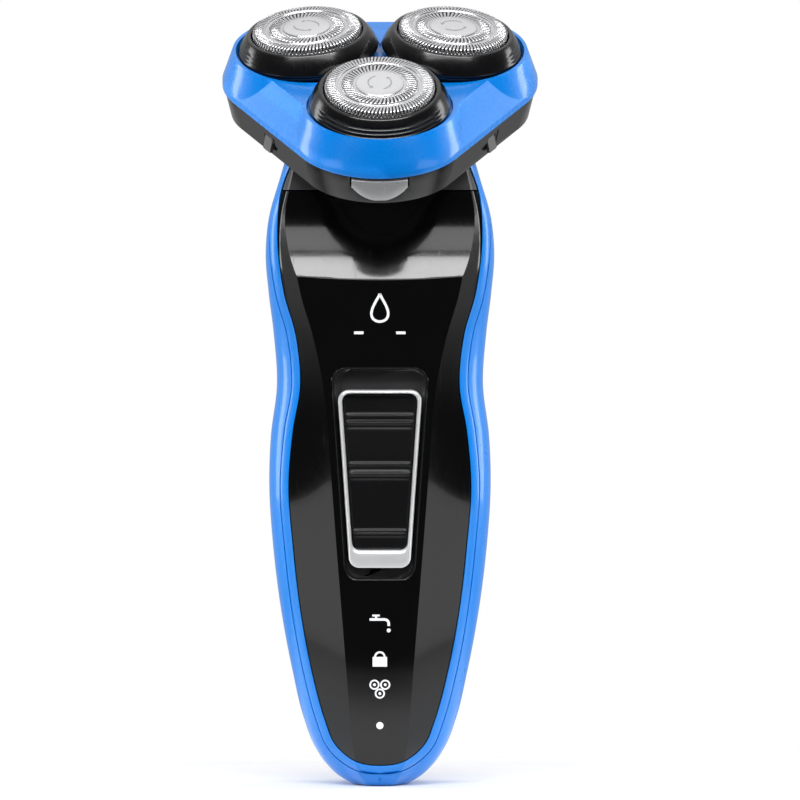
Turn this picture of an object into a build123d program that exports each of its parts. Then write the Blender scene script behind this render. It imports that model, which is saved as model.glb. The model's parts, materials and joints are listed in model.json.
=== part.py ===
from build123d import *
import math
import os

os.makedirs("parts", exist_ok=True)

# Rotary electric shaver, millimetres.
# +Z runs up the handle, the front of the shaver faces -Y, the origin is the middle of the foot.

# ---- driving dimensions -------------------------------------------------------------------

wall = 2.2                # moulded wall of the handle
trim_width = 2.0          # coloured band round the front cover
joint_line = 0.12         # visible gap between the handle mouldings
cover_top = 127.6         # upper end of the front cover

head_lean = 27.0          # deck tipped forward from the level
head_height = 153.0       # centre of the deck
head_forward = -6.0
spread = 17.7             # deck centre to each cutting unit
unit_lean = 5.0           # each cutting unit leans outward
unit_angles = {"front": -90.0, "right": 30.0, "left": 150.0}

ring_radius = 15.15       # holder ring at its base
pinion_teeth = 27
gear_teeth = 45
gear_module = 2.0 * spread / (pinion_teeth + gear_teeth)
ball_level = -17.2        # universal joint of the drive, below the deck
motor_back = head_forward - ball_level * math.sin(math.radians(head_lean))
hinge_out = 29.6          # head hinge behind the deck centre
hinge_level = -7.2

# Handle stations: height, half width, front depth, back depth, cover edge, centre strip.
stations = [
    (0.0, 6.2, 8.6, 9.2, 4.2, 3.0),
    (1.5, 8.7, 10.2, 11.0, 6.0, 3.9),
    (4.0, 11.4, 11.8, 12.9, 8.0, 4.9),
    (8.0, 14.1, 13.3, 14.8, 10.2, 5.7),
    (14.0, 16.4, 14.8, 16.5, 12.2, 6.3),
    (24.0, 18.8, 16.3, 18.1, 14.8, 7.1),
    (38.0, 21.4, 17.6, 19.4, 17.3, 8.2),
    (52.0, 23.1, 18.4, 20.1, 18.9, 9.3),
    (64.0, 23.85, 18.6, 20.1, 19.5, 10.2),
    (75.0, 23.5, 18.45, 19.5, 18.9, 11.0),
    (86.0, 22.2, 18.2, 18.6, 17.5, 12.1),
    (97.0, 22.9, 18.1, 18.0, 18.4, 14.4),
    (106.0, 24.0, 18.2, 17.8, 20.3, 17.0),
    (114.0, 24.6, 18.2, 17.8, 21.4, 18.2),
    (122.0, 23.8, 18.1, 17.5, 21.2, 17.8),
    (131.0, 21.1, 17.7, 16.9, 19.1, 15.9),
    (140.0, 18.4, 17.2, 15.9, 16.8, 13.8),
    (150.0, 16.4, 16.6, 14.6, 15.0, 12.2),
]

# Hollow above the crease, seen from the side: depth in front of the axis, height.
scoop_line = [(18.4, 108.1), (16.6, 112.0), (14.9, 116.4), (13.4, 122.0), (12.5, 129.0), (11.8, 150.0)]

# Edge of the black cover seen from the front: height, half width.
cover_edge = [
    (4.6, 0.0), (5.6, 5.4), (9.0, 9.5), (14.0, 11.6), (24.0, 14.3), (38.0, 16.9), (52.0, 18.5),
    (64.0, 19.4), (76.0, 18.5), (86.0, 16.9), (97.0, 17.9), (106.0, 20.4), (118.0, 21.7),
    (127.0, 21.0), (138.0, 17.0), (152.0, 13.5),
]

# ---- frames -------------------------------------------------------------------------------

lean = math.radians(head_lean)
deck = Plane(
    origin=(0, head_forward, head_height),
    x_dir=(1, 0, 0),
    z_dir=(0, -math.sin(lean), math.cos(lean)),
)


def on_deck(shape):
    """Move a shape drawn about the deck centre to its place on the shaver."""
    return deck.location * shape


def unit_place(name):
    """Seat of one cutting unit on the deck, leaning outward; local X points outward."""
    angle = unit_angles[name]
    return Rot(0, 0, angle) * Pos(spread, 0, 0) * Rot(0, unit_lean, 0)


def on_unit(name, shape):
    return on_deck(unit_place(name) * shape)


# ---- small shape helpers ------------------------------------------------------------------

def disc(radius, low, high, x=0.0, y=0.0):
    """Upright round bar between two heights."""
    return Pos(x, y, (low + high) / 2) * Cylinder(radius, high - low)


def tube(outer, inner, low, high, x=0.0, y=0.0):
    return disc(outer, low, high, x, y) - disc(inner, low - 1, high + 1, x, y)


def block(x0, x1, y0, y1, z0, z1):
    middle = Pos((x0 + x1) / 2, (y0 + y1) / 2, (z0 + z1) / 2)
    return middle * Box(x1 - x0, y1 - y0, z1 - z0)


def turned(points):
    """Solid of revolution about Z from a closed radius/height outline."""
    outline = Plane.XZ * make_face(Polyline(*points, close=True))
    return revolve(outline, Axis.Z)


def save(shape, name):
    export_step(shape, "parts/" + name + ".step")


# ---- handle form --------------------------------------------------------------------------

def handle_section(station, inset):
    """Level section through the handle, drawn inset from the outer skin."""
    z, half, front, back, edge, strip = station
    half = half - inset
    front = front - inset
    back = back - inset
    edge = edge - inset * 0.9
    strip = strip - inset * 0.5
    edge_y = -0.66 * front
    flank_y = -0.08 * front
    nose = ThreePointArc((-strip, -front + 0.35), (0, -front), (strip, -front + 0.35))
    right_facet = Line((strip, -front + 0.35), (edge, edge_y))
    right_back = Spline(
        (edge, edge_y), (half, flank_y), (half * 0.72, back * 0.66), (0, back),
        tangents=[(0.75, 0.66), (-1, 0)],
    )
    left_back = Spline(
        (0, back), (-half * 0.72, back * 0.66), (-half, flank_y), (-edge, edge_y),
        tangents=[(-1, 0), (0.75, -0.66)],
    )
    left_facet = Line((-edge, edge_y), (-strip, -front + 0.35))
    outline = Wire([nose.edge(), right_facet.edge(), right_back.edge(), left_back.edge(), left_facet.edge()])
    return Pos(0, 0, z) * Face(outline)


def handle_form(inset, foot_lift):
    """Whole handle as one solid, up to the slanted joint with the head base."""
    sections = []
    for station in stations:
        if station[0] >= foot_lift:
            sections.append(handle_section(station, inset))
    body = loft(sections)
    points = [(inset - depth, z) for depth, z in scoop_line]
    profile = Spline(*points, tangents=[(0.48, 1.0), (0.02, 1.0)])
    profile = profile + Polyline(points[-1], (-60, 150), (-60, points[0][1]), points[0])
    scoop = Pos(-60, 0, 0) * extrude(make_face(Plane.YZ * profile), amount=120, dir=(1, 0, 0))
    over_head = on_deck(Pos(0, 0, 34.2) * Box(160, 160, 100))
    return body - scoop - over_head


def cover_prism(grow, top):
    """Bar as wide as the front cover, running front to back through the front half."""
    right = []
    for z, half in cover_edge:
        if half == 0.0:
            right.append((0.0, z - grow))
        else:
            right.append((half + grow, z - 0.5 * grow * (z < 12)))
    half_up = 7
    lower = right[:half_up + 1]
    upper = right[half_up:]
    pieces = []
    for side in (1, -1):
        low_points = [(side * x, z) for x, z in lower]
        high_points = [(side * x, z) for x, z in upper]
        pieces.append(Spline(*low_points, tangents=[(side, 0), (0, 1)]))
        pieces.append(Spline(*high_points, tangents=[(0, 1), (-0.35 * side, 1)]))
    closing = Line(right[-1], (-right[-1][0], right[-1][1]))
    outline = pieces[0] + pieces[1] + pieces[2] + pieces[3] + closing
    bar = extrude(make_face(Plane.XZ * outline), amount=45, dir=(0, -1, 0))
    if top < 150:
        bar = bar - block(-60, 60, -60, 60, top, 400)
    return bar - block(-60, 60, -3.0, 60, -10, 400)


# ---- handle mouldings ---------------------------------------------------------------------

outer_form = handle_form(0.0, 0.0)
inner_form = handle_form(wall, 3.9)
inner_form = inner_form - block(-60, 60, -60, 60, -1, 4.5)

wall_form = outer_form - inner_form


def switch_outline(grow_side, low, high):
    """Tapered window seen from the front: the switch is wider at the top."""
    taper = (18.2 - 13.0) / 2 / (85.2 - 47.2)
    half_low = 6.5 + (low - 47.2) * taper + grow_side
    half_high = 6.5 + (high - 47.2) * taper + grow_side
    corners = [(-half_low, low), (half_low, low), (half_high, high), (-half_high, high)]
    return make_face(Plane.XZ * Polyline(*corners, close=True))


def switch_bar(grow_side, low, high, front, back, radius):
    """Tapered bar with rounded corners between two depths."""
    bar = extrude(switch_outline(grow_side, low, high), amount=back - front, dir=(0, 1, 0))
    bar = fillet(bar.edges().filter_by(Axis.Y), radius)
    return Pos(0, front, 0) * bar


def handle_wall(keep, remove):
    """Handle wall inside one shape and outside another, worked in short lengths."""
    levels = (-1.0, 20.0, 60.0, 100.0, 115.0, 130.0, 160.0)
    result = None
    for low, high in zip(levels, levels[1:]):
        length = wall_form & block(-60, 60, -60, 60, low, high)
        if keep is not None:
            length = length & keep
        if remove is not None:
            length = length - remove
        result = length if result is None else result + length
    return result


def rear_shell():
    shell = handle_wall(None, cover_prism(trim_width + joint_line, 200))
    return shell - disc(4.6, -1, 14, 0, 0)


def trim_frame():
    band = handle_wall(cover_prism(trim_width, 200), cover_prism(joint_line, 200))
    return band - disc(5.9, -1, 8) - cover_prism(0.0, 200)


def front_cover():
    cover = handle_wall(cover_prism(0.0, cover_top), None)
    window = switch_bar(1.1, 44.6, 89.9, -30, -5, 3.0)
    return cover - window


def neck_collar():
    above = block(-60, 60, -60, 60, cover_top + 0.3, 200)
    return ((outer_form - inner_form) & above) & cover_prism(0.0, 200)


# ---- electrics in the handle --------------------------------------------------------------

def charging_socket():
    body = disc(4.5, 0.0, 13.0) - disc(2.85, -1, 11.0)
    body = body - disc(0.6, 10, 14) - block(3.0, 3.5, -0.9, 0.9, 10.9, 14)
    collar = tube(5.6, 4.4, 5.2, 6.4)
    return body + collar


def socket_pin():
    pin = disc(1.05, 1.2, 11.0) + Pos(0, 0, 1.2) * Sphere(1.05)
    return pin + disc(0.6, 11.0, 15.5)


def socket_leaf():
    return block(3.0, 3.5, -0.9, 0.9, 11.0, 16.0)


def battery():
    can = disc(7.0, 24.0, 72.6, 0, 4.6)
    button = disc(2.6, 72.6, 73.8, 0, 4.6)
    return fillet(can.edges().filter_by(GeomType.CIRCLE), 0.5) + button


def battery_tab_top():
    return block(-2.2, 2.2, -8.2, 6.6, 73.8, 74.1) + block(-2.2, 2.2, -8.4, -8.1, 70.5, 74.1)


def battery_tab_bottom():
    return block(-2.2, 2.2, -8.2, 6.6, 23.6, 23.9) + block(-2.2, 2.2, -8.4, -8.1, 23.6, 27.0)


def inner_frame():
    """Moulded chassis that carries the battery, the board and the motor."""
    spine = block(-9.2, 9.2, -7.7, -6.5, 19.0, 97.0)
    cheek = block(8.0, 9.2, -7.7, 7.0, 23.0, 97.0)
    frame = spine + cheek + mirror(cheek, Plane.YZ)
    for level in (21.6, 75.2, 95.8):
        frame = frame + block(-9.2, 9.2, -7.7, 9.0, level, level + 1.4)
    frame = frame - block(-2.6, 2.6, -12, 7.2, 71.8, 75.3)
    frame = frame - block(-2.6, 2.6, -12, 7.2, 22.9, 26.0)
    return frame - disc(3.4, 90, 100, 0, motor_back)


def circuit_board():
    board = block(-8.6, 8.6, -9.6, -8.4, 18.0, 94.0)
    for x in (-7.0, 7.0):
        for z in (20.0, 92.0):
            hole = Pos(x, -9, z) * Rot(90, 0, 0) * Cylinder(0.9, 5)
            board = board - hole
    return board


def board_screw(x, z):
    shank = Pos(x, -8.65, z) * Rot(90, 0, 0) * Cylinder(0.8, 1.9)
    head = Pos(x, -10.1, z) * Rot(90, 0, 0) * Cylinder(1.4, 1.0)
    slot = block(x - 1.5, x + 1.5, -11, -10.2, z - 0.18, z + 0.18)
    return head + shank - slot


def board_screws():
    screws = board_screw(-7.0, 20.0)
    for x, z in ((7.0, 20.0), (-7.0, 92.0), (7.0, 92.0)):
        screws = screws + board_screw(x, z)
    return screws


def control_chip():
    chip = block(-2.5, 2.5, -11.2, -9.8, 41.0, 46.0)
    for row in range(5):
        z = 41.6 + row
        chip = chip + block(-3.4, 3.4, -10.0, -9.6, z - 0.2, z + 0.2)
    return chip


def status_lamp():
    lamp = block(-1.2, 1.2, -10.4, -9.6, 20.0, 22.4)
    return lamp + Pos(0, -10.5, 21.2) * Sphere(0.8)


def slide_switch_body():
    shell = block(-5.0, 5.0, -13.0, -9.6, 61.0, 75.0)
    return shell - block(-1.2, 1.2, -14, -10.6, 64.0, 72.6)


def motor_can():
    can = disc(10.0, 97.4, 124.0, 0, motor_back)
    can = can & block(-10, 10, -6.0, 9.86, 90, 130)
    can = can - disc(2.2, 97.0, 99.0, 0, motor_back)
    can = can - disc(9.2, 98.2, 122.8, 0, motor_back)
    return can - disc(1.06, 120, 126, 0, motor_back) + tube(3.0, 1.06, 124.0, 125.4, 0, motor_back)


def motor_shaft():
    """Rotor with its shaft, ending in the ball and cross pin of the universal joint."""
    rotor = disc(6.6, 101.0, 118.0, 0, motor_back)
    for index in range(3):
        slot = Pos(0, motor_back, 109.5) * Rot(0, 0, 120 * index + 60) * Pos(6.4, 0, 0) * Box(6, 1.4, 20)
        rotor = rotor - slot
    x, y, z = ball_centre
    shaft = disc(1.0, 98.6, z, 0, motor_back)
    ball = Pos(x, y, z) * Sphere(2.2)
    cross = Pos(x, y, z) * Rot(0, 90, 0) * Cylinder(0.6, 7.2)
    return rotor + shaft + ball + cross


ball_centre = tuple(on_deck(Pos(0, 0, ball_level) * Sphere(1)).center())


# ---- power switch -------------------------------------------------------------------------

def switch_well():
    """Tray behind the window of the front cover, with the slot for the switch stem."""
    tray = switch_bar(1.0, 44.7, 89.8, -17.2, -14.2, 2.8)
    bowl = switch_bar(0.45, 45.3, 89.2, -18.0, -15.2, 2.4)
    tray = tray - bowl
    return tray - block(-1.5, 1.5, -20, -10, 62.0, 75.6)


def switch_frame():
    """Bright surround of the grip: thin at the top and sides, thick across the bottom."""
    outer = switch_bar(0.0, 47.2, 85.2, -19.3, -15.5, 2.3)
    opening = switch_bar(-0.9, 51.0, 84.4, -22, -15.0, 1.7)
    return outer - opening


def switch_grip():
    pad = switch_bar(-0.95, 51.05, 84.35, -18.7, -16.0, 1.65)
    for level in (55.0, 67.3, 69.3, 78.2, 79.7):
        pad = pad + Pos(0, -18.75, level) * Rot(0, 90, 0) * Cylinder(0.32, 11.2 + (level - 47) * 0.13)
    pad = pad & switch_bar(-0.95, 51.05, 84.35, -20.5, -15.9, 1.65)
    stem = block(-1.1, 1.1, -16.4, -11.2, 64.4, 67.4)
    return pad + stem


# ---- head base ----------------------------------------------------------------------------

def rounded_triangle(radius, level):
    """Level outline round the three units: arcs about the units joined by straight sides."""
    points = []
    for name in ("front", "right", "left"):
        angle = math.radians(unit_angles[name])
        cx = spread * math.cos(angle)
        cy = spread * math.sin(angle)
        for turn in (-60, 0, 60):
            spot = angle + math.radians(turn)
            points.append((cx + radius * math.cos(spot), cy + radius * math.sin(spot)))
    edges = []
    for first in (0, 3, 6):
        edges.append(ThreePointArc(*points[first:first + 3]).edge())
        edges.append(Line(points[first + 2], points[(first + 3) % 9]).edge())
    return Pos(0, 0, level) * Face(Wire(edges))


def triangle_loft(radius_low, low, radius_high, high):
    return loft([rounded_triangle(radius_low, low), rounded_triangle(radius_high, high)], ruled=True)


def button_bar(outer, inner, side, low, high):
    """Curved tongue at the front of the head base."""
    band = tube(outer, inner, low, high, 0, -spread)
    return band & block(-side, side, -60, -spread - 5, low, high)


def head_base():
    """Black bowl under the deck: hair chamber above, gear space below."""
    bowl = triangle_loft(16.9, -13.6, 18.3, -7.3)
    bowl = bowl + triangle_loft(13.4, -15.6, 16.9, -13.6)
    bowl = bowl + triangle_loft(16.5, -8.0, 16.3, -5.7)
    bowl = bowl - triangle_loft(14.6, -10.6, 15.2, -5.0)
    bowl = bowl - triangle_loft(12.0, -16.0, 12.0, -11.8)
    for name in unit_angles:
        angle = math.radians(unit_angles[name])
        bowl = bowl - disc(3.5, -13, -9, spread * math.cos(angle), spread * math.sin(angle))
    bowl = bowl - disc(1.57, -12.0, -11.0)
    bowl = bowl - button_bar(16.5, 15.3, 5.4, -11.4, -7.2)
    bowl = bowl - button_form(20.0, 15.3, 0.35)
    for side in (-1, 1):
        lug = block(5.0, 8.0, 26.0, hinge_out, -12.0, hinge_level - 0.4)
        knuckle = Pos(6.5, hinge_out, hinge_level) * Rot(0, 90, 0) * Cylinder(1.6, 3.0)
        pair = lug + knuckle - Pos(6.5, hinge_out, hinge_level) * Rot(0, 90, 0) * Cylinder(0.9, 5)
        if side < 0:
            pair = mirror(pair, Plane.YZ)
        bowl = bowl + pair
        seat = flank_seat(side) * Box(1.2, 3.2, 4.9)
        slot = flank_seat(side) * Pos(0, 2.6, 0.4) * Box(1.6, 0.6, 3.6)
        bowl = bowl - seat - slot
    return bowl


def flank_seat(side):
    """Place on the left or right flank of the head base; local X points outward."""
    direction = -30.0 if side > 0 else 210.0
    reach = spread / 2 + 17.5
    along = 1.7 * side
    return Rot(0, 0, direction) * Pos(reach, along, -10.3) * Rot(0, -12.0, 0)


def side_tab(side):
    return flank_seat(side) * Pos(-0.1, 0, 0) * Box(0.7, 3.0, 4.7)


def button_form(outer, inner, grow):
    """Release button, flat on top and rounded below; grown, it is the pocket it slides in."""
    side = 5.95 + grow
    bar = button_bar(outer, inner, side, -12.1 - grow, -7.7 + grow)
    rounded = Pos(0, -spread - 17, -4.6) * Rot(90, 0, 0) * Cylinder(7.6 + grow, 20)
    lower = block(-9, 9, -60, 0, -16, -7) & rounded
    return bar & (lower + block(-side, side, -60, 0, -9.6, -7.0))


def release_button():
    return button_form(18.75, 16.5, 0.0)


def release_spring():
    strip = tube(15.48, 15.32, -10.0, -8.2, 0, -spread)
    return strip & block(-5.0, 5.0, -60, -spread - 5, -12.2, -7.0)


def gear_plate():
    plate = triangle_loft(11.9, -15.5, 11.9, -14.4)
    plate = plate - disc(4.28, -20, 0)
    return plate


def gear_axles():
    axles = None
    for name in unit_angles:
        angle = math.radians(unit_angles[name])
        axle = disc(1.0, -14.4, -11.6, spread * math.cos(angle), spread * math.sin(angle))
        axles = axle if axles is None else axles + axle
    return axles


def shaft_seal(name):
    angle = math.radians(unit_angles[name])
    x = spread * math.cos(angle)
    y = spread * math.sin(angle)
    return tube(4.6, 3.5, -10.6, -9.9, x, y)


def hinge_pin():
    return Pos(0, hinge_out, hinge_level) * Rot(0, 90, 0) * Cylinder(0.9, 16.4)


# ---- drive --------------------------------------------------------------------------------

def gear_blank(teeth, tooth_at, low, high):
    """Spur gear with involute flanks; a tooth points along the given direction."""
    pitch = gear_module * teeth / 2
    root = pitch - 1.15 * gear_module
    tip = pitch + 0.8 * gear_module
    base = pitch * math.cos(math.radians(20))
    flank_start = max(root, base)
    play = 0.10 / pitch
    half_at_pitch = math.pi / 2 / teeth - play

    def involute(radius):
        slope = math.acos(min(1.0, base / radius))
        return math.tan(slope) - slope

    points = []
    for tooth in range(teeth):
        middle = math.radians(tooth_at) + 2 * math.pi * tooth / teeth
        flank = []
        for step in range(4):
            radius = flank_start + (tip - flank_start) * step / 3
            half = half_at_pitch + involute(pitch) - involute(radius)
            flank.append((radius, half))
        rise = flank
        if base > root:
            rise = [(root, flank[0][1])] + flank
        for radius, half in rise:
            points.append((radius * math.cos(middle - half), radius * math.sin(middle - half)))
        for radius, half in reversed(rise):
            points.append((radius * math.cos(middle + half), radius * math.sin(middle + half)))
    face = make_face(Polyline(*points, close=True))
    return Pos(0, 0, low) * extrude(face, amount=high - low)


def centre_gear():
    """Sun gear with the slotted cup of the universal joint under it."""
    gear = gear_blank(pinion_teeth, -90.0, -13.9, -12.2)
    gear = gear + disc(1.5, -12.3, -11.2)
    cup = tube(4.2, 2.6, -19.4, -13.8) - block(-5, 5, -1.2, 1.2, -20, -14.6)
    return gear + cup


def drive_gear(name):
    """Planet gear with the hollow hub that turns one spindle."""
    angle = unit_angles[name]
    blank = gear_blank(gear_teeth, 180.0 / gear_teeth, -13.9, -12.2)
    hub = disc(3.2, -12.3, -9.0) - disc(2.08, -11.2, -8.0)
    gear = blank + hub - disc(1.06, -14.5, -11.5)
    x = spread * math.cos(math.radians(angle))
    y = spread * math.sin(math.radians(angle))
    return Pos(x, y, 0) * Rot(0, 0, angle + 180) * gear


def spindle(name):
    """Sprung drive spindle with a flat tip that turns the cutter."""
    angle = unit_angles[name]
    bar = disc(2.0, -10.1, -5.4) + disc(1.2, -5.5, 1.0) + disc(2.6, -5.9, -5.3)
    tip = block(-1.8, 1.8, -0.6, 0.6, 0.2, 2.0) & disc(1.8, 0.2, 2.0)
    x = spread * math.cos(math.radians(angle))
    y = spread * math.sin(math.radians(angle))
    return Pos(x, y, 0) * Rot(0, 0, angle + 180) * (bar + tip)


# ---- cutting head -------------------------------------------------------------------------

def hexagon(radius, level):
    """Outline through the ends of the straight sides of the rounded triangle."""
    points = []
    for name in ("front", "right", "left"):
        angle = math.radians(unit_angles[name])
        for turn in (-60, 60):
            spot = angle + math.radians(turn)
            x = spread * math.cos(angle) + radius * math.cos(spot)
            y = spread * math.sin(angle) + radius * math.sin(spot)
            points.append((x, y))
    return Pos(0, 0, level) * make_face(Polyline(*points, close=True))


def deck_form(inset, low, high, foot):
    """Deck skin: a cone round every unit joined by flat facets."""
    rim = 18.7 - inset
    form = loft([hexagon(rim, low), hexagon(14.0 - inset, high)], ruled=True)
    for name in unit_angles:
        angle = math.radians(unit_angles[name])
        place = Pos(spread * math.cos(angle), spread * math.sin(angle), (low + high) / 2)
        form = form + place * Cone(rim, 16.5 - inset, high - low)
    return form + triangle_loft(rim, foot, rim, low)


def head_frame():
    """Coloured deck that carries the three units."""
    frame = deck_form(0.0, -5.6, 1.0, -7.0)
    frame = frame - deck_form(1.7, -5.9, -3.0, -9.0)
    for name in unit_angles:
        place = unit_place(name)
        frame = frame - place * disc(15.65, -0.5, 12)
        frame = frame - place * disc(14.1, -12, 5)
        frame = frame + place * tube(15.7, 14.1, -2.4, -0.5)
    for name in unit_angles:
        place = unit_place(name)
        frame = frame - place * Pos(0, 0, -1.4) * Rot(90, 0, 0) * Cylinder(0.6, 32)
    web = block(-4.6, 4.6, 25.8, hinge_out, -6.9, -5.4)
    knuckle = Pos(0, hinge_out, hinge_level) * Rot(0, 90, 0) * Cylinder(1.6, 9.2)
    bore = Pos(0, hinge_out, hinge_level) * Rot(0, 90, 0) * Cylinder(0.96, 12)
    return frame + web + knuckle - bore


def retaining_frame():
    """Spider under the deck that holds the cutters in."""
    frame = disc(5.0, -6.2, -5.0)
    for name in unit_angles:
        angle = unit_angles[name]
        ring = Rot(0, 0, angle) * Pos(spread, 0, 0) * tube(12.4, 10.6, -6.2, -5.0)
        frame = frame + ring
    for name in unit_angles:
        angle = unit_angles[name]
        spoke = Rot(0, 0, angle) * block(0, 7.0, -1.4, 1.4, -6.2, -5.0)
        arm = Rot(0, 0, angle) * block(spread + 11.0, spread + 14.9, -2.2, 2.2, -6.2, -5.0)
        frame = frame + spoke + arm
    return frame - disc(1.3, -8, 0)


def retainer_knob():
    """Turn lock of the spider, with a finger bar."""
    knob = disc(3.8, -7.2, -6.2) + disc(1.2, -6.3, -3.4)
    return knob + block(-3.2, 3.2, -0.6, 0.6, -8.4, -7.1)


def holder_ring(name):
    profile = [
        (12.95, -2.6), (13.6, -2.6), (13.6, 0.45), (14.5, 0.45), (14.5, 1.2), (ring_radius, 1.3),
        (15.0, 2.2), (14.55, 3.4), (13.9, 4.5), (13.2, 5.3), (12.9, 5.45), (12.4, 5.45),
        (12.08, 5.1), (12.08, 3.3), (12.95, 3.3),
    ]
    ring = turned(profile)
    for level in (2.1, 2.9, 3.7):
        reach = ring_radius - 0.42 * (level - 1.3) - 0.06 * (level - 1.3) ** 2
        groove = Pos(0, 0, level) * Torus(reach + 0.05, 0.28)
        ring = ring - (groove & block(8.0, 20, -20, 20, 0, 6))
    pins = Pos(0, 0, -1.4) * Rot(90, 0, 0) * Cylinder(0.55, 30.0)
    ring = ring + (pins - disc(13.2, -5, 5))
    return on_unit(name, ring)


def slot_comb(count, inner, outer, width, cant, low, high):
    """Canted radial slots of one shaving track."""
    comb = []
    for index in range(count):
        cutter = Rot(0, 0, 360.0 * index / count) * Pos((inner + outer) / 2, 0, (low + high) / 2)
        comb.append(cutter * Rot(0, 0, cant) * Box(outer - inner, width, high - low))
    return comb


def foil_cap():
    profile = [
        (11.4, 2.4), (12.6, 2.4), (12.6, 3.0), (11.75, 3.0), (11.75, 5.9), (11.3, 6.5),
        (9.0, 6.5), (8.85, 6.25), (8.55, 6.25), (8.4, 6.5), (4.6, 6.5), (4.6, 6.2), (8.2, 6.2),
        (8.45, 5.95), (8.95, 5.95), (9.2, 6.2), (11.0, 6.2), (11.4, 5.8),
    ]
    cap = turned(profile)
    outer_comb = slot_comb(90, 9.4, 12.4, 0.28, 14.0, 5.2, 7.0)
    inner_comb = slot_comb(54, 5.7, 8.1, 0.28, 14.0, 5.0, 7.0)
    return cap - outer_comb - inner_comb


def cap_disc(name):
    disc_profile = [(0, 6.0), (4.55, 6.0), (4.55, 6.5), (5.2, 6.5), (5.0, 6.72), (3.0, 6.85), (0, 6.9)]
    return on_unit(name, turned(disc_profile))


def cutter():
    """Rotating cutter: two rings of leaning blades on a disc."""
    body = disc(11.1, 2.4, 3.0) - disc(9.0, 2, 4) + disc(6.0, 2.0, 3.0)
    for index in range(6):
        body = body + Rot(0, 0, 60 * index) * block(3.0, 10.0, -0.9, 0.9, 2.4, 3.0)
    body = body + disc(3.6, 1.0, 3.0)
    for index in range(15):
        place = Rot(0, 0, 24.0 * index)
        body = body + place * Pos(10.2, 0, 4.35) * Rot(18, 0, 0) * Box(1.5, 0.55, 3.0)
        body = body + place * Rot(0, 0, 12) * Pos(6.9, 0, 4.3) * Rot(18, 0, 0) * Box(1.9, 0.55, 3.0)
    body = body + tube(7.9, 6.0, 2.4, 3.0)
    body = body & disc(11.1, 0, 5.9)
    return body - block(-2.5, 2.5, -1.3, 1.3, 0, 2.7)


# ---- write every piece --------------------------------------------------------------------

single = [
    rear_shell, trim_frame, front_cover, neck_collar, charging_socket, socket_pin, socket_leaf,
    battery, battery_tab_top, battery_tab_bottom, inner_frame, circuit_board, board_screws,
    control_chip, status_lamp, slide_switch_body, motor_can, motor_shaft, switch_well,
    switch_frame, switch_grip,
]
on_head = [
    head_base, release_button, release_spring, gear_plate, gear_axles, hinge_pin, centre_gear,
    head_frame, retaining_frame, retainer_knob,
]
per_unit = [shaft_seal, drive_gear, spindle]

for make in single:
    save(make(), make.__name__)
for make in on_head:
    save(on_deck(make()), make.__name__)
save(on_deck(side_tab(1)), "side_tab_right")
save(on_deck(side_tab(-1)), "side_tab_left")
cap_shape = foil_cap()
cutter_shape = cutter()
for unit in unit_angles:
    for make in per_unit:
        save(on_deck(make(unit)), make.__name__ + "_" + unit)
    save(holder_ring(unit), "holder_ring_" + unit)
    save(cap_disc(unit), "cap_disc_" + unit)
    save(on_unit(unit, cap_shape), "foil_cap_" + unit)
    turn = unit_place(unit) * Rot(0, 0, 180) * cutter_shape
    save(on_deck(turn), "cutter_" + unit)
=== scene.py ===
import json
import math
import bpy
import bmesh
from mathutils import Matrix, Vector


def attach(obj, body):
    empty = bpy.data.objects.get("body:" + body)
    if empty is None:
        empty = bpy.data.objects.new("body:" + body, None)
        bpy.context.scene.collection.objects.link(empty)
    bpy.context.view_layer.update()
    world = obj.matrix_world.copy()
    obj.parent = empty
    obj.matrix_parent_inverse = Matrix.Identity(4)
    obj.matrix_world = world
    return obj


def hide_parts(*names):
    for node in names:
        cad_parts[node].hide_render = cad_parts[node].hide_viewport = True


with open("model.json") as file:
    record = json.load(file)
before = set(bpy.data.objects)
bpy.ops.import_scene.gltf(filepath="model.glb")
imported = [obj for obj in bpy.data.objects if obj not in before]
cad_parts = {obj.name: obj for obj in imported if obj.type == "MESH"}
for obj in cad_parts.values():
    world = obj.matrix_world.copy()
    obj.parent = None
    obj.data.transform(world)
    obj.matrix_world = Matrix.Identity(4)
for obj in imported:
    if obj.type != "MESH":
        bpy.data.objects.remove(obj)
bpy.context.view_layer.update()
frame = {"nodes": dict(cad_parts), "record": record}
SLOTS = {row["node"]: row["material_slot"] for row in frame["record"]["subparts"]}
MM = 0.001

# ---- shaver's own dimensions, in millimetres ----------------------------------------------
LEAN = math.radians(27.0)                # tilt of the head's deck
HEAD = Vector((0.0, -6.0, 153.0))        # middle of the deck
NECK_CUT = -14.8                         # level under the deck where the handle enters the head base
AX_U = Vector((1, 0, 0))
AX_V = Vector((0, math.cos(LEAN), math.sin(LEAN)))
AX_N = Vector((0, -math.sin(LEAN), math.cos(LEAN)))
SPREAD = 17.7                            # distance of each cutting unit from the middle
UNIT_LEAN = math.radians(5.0)
UNITS = {"front": -90.0, "right": 30.0, "left": 150.0}

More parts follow.
